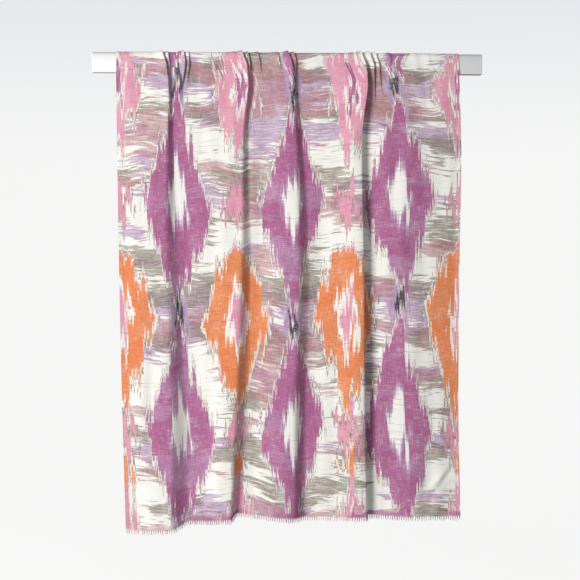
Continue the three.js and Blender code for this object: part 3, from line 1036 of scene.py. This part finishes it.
def stitch_group(sizes):
    """A row of sewn stitches along each line."""
    group, nodes, given = node_group("Hem stitches", sizes)
    spots = points_along(nodes, given["Geometry"], given["Pitch"])
    bead = nodes.make("GeometryNodeMeshIcoSphere", {}, {"Radius": 0.5, "Subdivisions": 2})
    along = nodes.make("GeometryNodeInputTangent")
    turn = nodes.make("FunctionNodeAlignRotationToVector", {"axis": "Z"}, {"Vector": along})
    size = nodes.random(*STITCH_LENGTHS, given["Seed"])
    scale = nodes.vector(given["Thickness"], given["Thickness"], given["Length"] * size)
    stitches = nodes.scatter(spots, bead, turn, scale)
    finish_group(nodes, stitches, given["Material"])
    return group


def value(kind, name, description, default, **form):
    """A value for the sidebar."""
    return kind(name=name, description=description, default=default, **form)


number = functools.partial(value, bpy.props.FloatProperty)
metres = functools.partial(number, unit="LENGTH", precision=5)
watts = functools.partial(number, unit="POWER")
whole = functools.partial(value, bpy.props.IntProperty)
tint = functools.partial(value, bpy.props.FloatVectorProperty, subtype="COLOR")


class ClothSizes(bpy.types.PropertyGroup):
    """The cut of the cloth and the fineness of its mesh."""

    width: metres("Width", "Width of the flat cloth", 0.69)
    front_length: metres("Front length", "Cloth from the crown to the front hem", 0.909)
    back_length: metres("Back length", "Cloth from the crown to the back hem", 0.871)
    thickness: metres("Thickness", "Thickness of the cloth", 0.0005)
    hem_width: metres("Hem width", "Width of the turned side hems", 0.006)
    columns: whole("Columns", "Points across the cloth", 262)
    turn_rows: whole("Turn rows", "Rows from the crown to the drop", 9)
    fall_rows: whole("Fall rows", "Rows down each drop", 170)


class PrintLook(bpy.types.PropertyGroup):
    """The dyes of the print, and the size of its figures."""

    ivory: tint("Ivory", "Undyed ground", (0.86, 0.84, 0.785))
    orchid: tint("Orchid", "Main lozenges", (0.425, 0.140, 0.285))
    pink: tint("Pink", "Smaller lozenges", (0.72, 0.33, 0.43))
    lavender: tint("Lavender", "Washes and inner rings", (0.47, 0.32, 0.47))
    orange: tint("Orange", "Warm lozenges", (0.76, 0.25, 0.10))
    taupe: tint("Taupe", "Brush strokes and outlines", (0.25, 0.195, 0.155))
    rose: tint("Rose", "Second brush strokes", (0.47, 0.22, 0.25))
    charcoal: tint("Charcoal", "Small dark marks", (0.07, 0.06, 0.09))
    repeat_width: metres("Repeat width", "Width of the half-drop repeat", 0.23)
    repeat_length: metres("Repeat length", "Length of the half-drop repeat", 0.44)
    feather: metres("Feather", "Length of the figures' spikes", 0.05)
    half_length: metres("Half length", "Half the length of the printed cloth", 0.89)
    middle: metres("Middle", "From the rail to the middle of the cloth", 0.019)
    yarn_pitch: metres("Yarn pitch", "Distance between yarns", 0.00055)


class FringeSizes(bpy.types.PropertyGroup):
    """The frayed yarns of the two ends."""

    spacing: metres("Spacing", "Distance between yarns", 0.0008)
    length: metres("Length", "Length of a frayed yarn", 0.0105)
    root_radius: metres("Root radius", "Half a yarn's thickness", 0.00036)
    tip_radius: metres("Tip radius", "Half its thickness at the tip", 0.00016)
    tuft_width: metres("Tuft width", "Distance between tufts", 0.0044)
    gather: number("Gather", "How far a tuft's yarns draw together", 0.72, subtype="FACTOR")
    stray: number("Stray", "How far a yarn leans at random", 0.10, subtype="ANGLE")


class StitchSizes(bpy.types.PropertyGroup):
    """The sewing of the side hems."""

    pitch: metres("Pitch", "Distance between stitches", 0.0027)
    length: metres("Length", "Length of a stitch", 0.0021)
    thickness: metres("Thickness", "Thickness of the thread", 0.00042)


class RailLook(bpy.types.PropertyGroup):
    """The finish of the rail."""

    edge: metres("Edge", "Radius of the rail's eased edges", 0.0012)
    paint: tint("Paint", "Colour of the paint", (0.77, 0.77, 0.76))
    worn_paint: tint("Worn paint", "Colour of its duller patches", (0.68, 0.68, 0.66))


class StageLook(bpy.types.PropertyGroup):
    """The studio, its light and its camera."""

    key: watts("Key", "Power of the main light", 220.0)
    fill: watts("Fill", "Power of the fill light", 15.0)
    rear: watts("Rear", "Power of the rear light", 300.0)
    side: watts("Side", "Power of the side light", 32.0)
    ambient: number("Ambient", "Strength of the room's own light", 0.235)
    distance: metres("Distance", "From the camera to the rail", 2.6)
    lens: number("Lens", "Focal length", 82.7, unit="CAMERA")
    floor: metres("Floor", "Height of the floor", -1.6)
    radius: metres("Radius", "From the scarf to the round wall", 5.2)


class SCARF_OT_cloth(bpy.types.Operator):
    """Makes the two hanging stretches of the printed cloth, with their side hems"""

    bl_idname = "scarf.cloth"
    bl_label = "Cloth"
    bl_options = {"REGISTER", "UNDO"}

    def execute(self, context):
        sizes = context.scene.scarf_cloth
        face = cloth_material("printed cloth", cut_place)
        reverse = cloth_material("printed cloth reverse", cut_place, paler=REVERSE_PALER)
        for label, side in SIDES.items():
            points, places = hanging(side, sizes)
            normals = grid_normals(points) * side
            from_edge = np.minimum(places[..., 0], sizes.width - places[..., 0])
            turned = 1 - ease((from_edge - HEM_START * sizes.hem_width) / (HEM_SLOPE * sizes.hem_width))
            half = sizes.thickness / 2
            outer = points + normals * (half + HEM_OUTWARD * sizes.thickness * turned)[..., None]
            inner = points - normals * (half + HEM_INWARD * sizes.thickness * turned)[..., None]
            if side == BACK:
                outer, inner, places = outer[::-1], inner[::-1], places[::-1]
            mesh = wall_mesh(f"scarf_{label}", outer, inner, places)
            piece = add_object(f"scarf_{label}", mesh, face, reverse)
            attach(piece, "root")
            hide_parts(f"cloth_{label}")
        return {"FINISHED"}


class SCARF_OT_fringe(bpy.types.Operator):
    """Makes the frayed yarns at the two ends of the cloth"""

    bl_idname = "scarf.fringe"
    bl_label = "Fringe"
    bl_options = {"REGISTER", "UNDO"}

    def execute(self, context):
        sizes, cloth = context.scene.scarf_fringe, context.scene.scarf_cloth
        group, yarn = yarn_group(sizes), cloth_material("fringe yarn", yarn_place)
        for label, side in SIDES.items():
            points, places = hanging(side, cloth)
            roots = points[-1] + np.array((0, 0, ROOT_RAISE))
            piece = add_object(f"fringe_yarns_{label}", line_mesh("roots", [roots], [places[-1]]))
            run_group(piece, group, sizes, YARN_SEEDS[label], yarn)
            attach(piece, "root")
            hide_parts(f"fringe_{label}")
        return {"FINISHED"}


class SCARF_OT_stitches(bpy.types.Operator):
    """Sews the side hems of the two stretches"""

    bl_idname = "scarf.stitches"
    bl_label = "Hem stitches"
    bl_options = {"REGISTER", "UNDO"}

    def execute(self, context):
        sizes, cloth = context.scene.scarf_stitches, context.scene.scarf_cloth
        group, thread = stitch_group(sizes), thread_material()
        for label, side in SIDES.items():
            points, _ = hanging(side, cloth)
            raised = points + grid_normals(points) * side * STITCH_RAISE * cloth.thickness
            lines = [raised[:, HEM_COLUMNS - 1], raised[:, -HEM_COLUMNS]]
            piece = add_object(f"hem_stitches_{label}", line_mesh("hem lines", lines))
            run_group(piece, group, sizes, STITCH_SEEDS[label], thread)
            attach(piece, "root")
        return {"FINISHED"}


class SCARF_OT_rail(bpy.types.Operator):
    """Makes the painted rail that the scarf hangs over, with eased edges"""

    bl_idname = "scarf.rail"
    bl_label = "Rail"
    bl_options = {"REGISTER", "UNDO"}

    def execute(self, context):
        look = context.scene.scarf_rail
        half, top = RAIL_ROUND * MM, TURN_CENTRE_Z * MM
        section = [(-half, 0.0), (half, 0.0)]
        for angle in np.linspace(0, math.pi, RAIL_STEPS):
            section.append((half * math.cos(angle), top + half * math.sin(angle)))
        made = bmesh.new()
        ends = [[made.verts.new((x, y, z)) for y, z in section] for x in (RAIL_LOW[0], RAIL_HIGH[0])]
        for i in range(len(section)):
            j = (i + 1) % len(section)
            made.faces.new((ends[0][i], ends[0][j], ends[1][j], ends[1][i]))
        made.faces.new(ends[0])
        made.faces.new(ends[1][::-1])
        bmesh.ops.recalc_face_normals(made, faces=made.faces)
        mesh = bpy.data.meshes.new("painted_rail")
        made.to_mesh(mesh)
        made.free()
        mesh.shade_smooth()
        piece = add_object("painted_rail", mesh, paint_material())
        eased = piece.modifiers.new("Eased edges", "BEVEL")
        eased.width, eased.segments = look.edge, EDGE_STEPS
        eased.angle_limit = math.radians(EDGE_ANGLE)
        eased.harden_normals = True
        as_plain_mesh(piece)
        piece.data.set_sharp_from_angle(angle=math.radians(RIM_ANGLE))
        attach(piece, "root")
        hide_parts("rail")
        return {"FINISHED"}


class SCARF_OT_stage(bpy.types.Operator):
    """Makes the pale studio, its soft light and the camera"""

    bl_idname = "scarf.stage"
    bl_label = "Stage"
    bl_options = {"REGISTER", "UNDO"}

    def execute(self, context):
        look = context.scene.scarf_stage
        self.sweep(look)
        self.lights(context, look)
        self.camera(context, look)
        context.scene.view_settings.view_transform = "Standard"
        return {"FINISHED"}

    def sweep(self, look):
        """A round floor that curves up into a wall on every side."""
        profile = []
        for angle in np.linspace(0, math.pi / 2, CURVE_STEPS):
            inward, up = FLOOR_CURVE * (1 - math.sin(angle)), FLOOR_CURVE * (1 - math.cos(angle))
            profile.append((look.radius - inward, look.floor + up))
        profile.append((look.radius, look.floor + WALL_HEIGHT))
        around = np.linspace(0, 2 * math.pi, WALL_SIDES, endpoint=False)
        points = [(r * math.cos(a), r * math.sin(a), z) for r, z in profile for a in around]
        rings = np.arange(len(points)).reshape(-1, WALL_SIDES)
        faces = [tuple(rings[0])]
        for low, high in zip(rings, rings[1:]):
            faces += zip(low, high, np.roll(high, -1), np.roll(low, -1))
        mesh = bpy.data.meshes.new("studio_sweep")
        mesh.from_pydata(points, [], [tuple(int(i) for i in face) for face in faces])
        mesh.shade_smooth()
        sweep = add_object("studio_sweep", mesh, glowing_paper_material())
        sweep.visible_diffuse = sweep.visible_glossy = sweep.visible_shadow = False

    def lights(self, context, look):
        """A soft light from the left, weak ones from the right, one from behind and the room's own."""
        for label, (place, size) in LAMPS.items():
            lamp = bpy.data.lights.new(label, "AREA")
            lamp.energy, lamp.size = getattr(look, label), size
            light = bpy.data.objects.new(label, lamp)
            light.location = place
            light.rotation_euler = (LAMP_AIM - Vector(place)).to_track_quat("-Z", "Y").to_euler()
            context.scene.collection.objects.link(light)
        world = bpy.data.worlds.new("room")
        world.use_nodes = True
        nodes = Nodes(world.node_tree)
        sockets = {"Color": opaque(ROOM_LIGHT), "Strength": look.ambient}
        glow = nodes.make("ShaderNodeBackground", {}, sockets)
        nodes.make("ShaderNodeOutputWorld", {}, {"Surface": glow})
        context.scene.world = world

    def camera(self, context, look):
        """Level, half way down the cloth, and a little to its left."""
        lens = bpy.data.cameras.new("camera")
        lens.lens, lens.sensor_width = look.lens, SENSOR_WIDTH
        camera = bpy.data.objects.new("camera", lens)
        camera.location = CAMERA_AIM + Vector((CAMERA_ASIDE, -look.distance, 0.0))
        camera.rotation_euler = (CAMERA_AIM - camera.location).to_track_quat("-Z", "Y").to_euler()
        context.scene.collection.objects.link(camera)
        context.scene.camera = camera


class SCARF_PT_pieces(bpy.types.Panel):
    """Lists the pieces, with their sizes and colours"""

    bl_idname = "SCARF_PT_pieces"
    bl_label = "Scarf on a Rail"
    bl_space_type = "VIEW_3D"
    bl_region_type = "UI"
    bl_category = "Scarf"

    def draw(self, context):
        for operator, groups in PIECES.items():
            box = self.layout.box()
            box.operator(operator.bl_idname)
            for group in groups:
                values = getattr(context.scene, group)
                for name in values.__annotations__:
                    box.prop(values, name)


# Each operator, with the property groups that it brings and their names in the scene
PIECES = {
    SCARF_OT_cloth: {"scarf_cloth": ClothSizes, "scarf_print": PrintLook},
    SCARF_OT_fringe: {"scarf_fringe": FringeSizes},
    SCARF_OT_stitches: {"scarf_stitches": StitchSizes},
    SCARF_OT_rail: {"scarf_rail": RailLook},
    SCARF_OT_stage: {"scarf_stage": StageLook},
}


def register():
    for operator, groups in PIECES.items():
        for name, group in groups.items():
            bpy.utils.register_class(group)
            setattr(bpy.types.Scene, name, bpy.props.PointerProperty(type=group))
        bpy.utils.register_class(operator)
    bpy.utils.register_class(SCARF_PT_pieces)


def unregister():
    bpy.utils.unregister_class(SCARF_PT_pieces)
    for operator, groups in PIECES.items():
        bpy.utils.unregister_class(operator)
        for name, group in groups.items():
            delattr(bpy.types.Scene, name)
            bpy.utils.unregister_class(group)


def declare_cloth(sizes):
    """Reads the length of each stretch of cloth, and does nothing with it."""
    for label in SIDES:
        getattr(sizes, f"{label}_length")


def main():
    register()
    bpy.ops.scarf.stage()
    bpy.ops.scarf.rail()
    bpy.ops.scarf.cloth()
    bpy.ops.scarf.fringe()
    bpy.ops.scarf.stitches()
    declare_cloth(bpy.context.scene.scarf_cloth)
    bpy.context.view_layer.update()


if __name__ == "__main__":
    main()
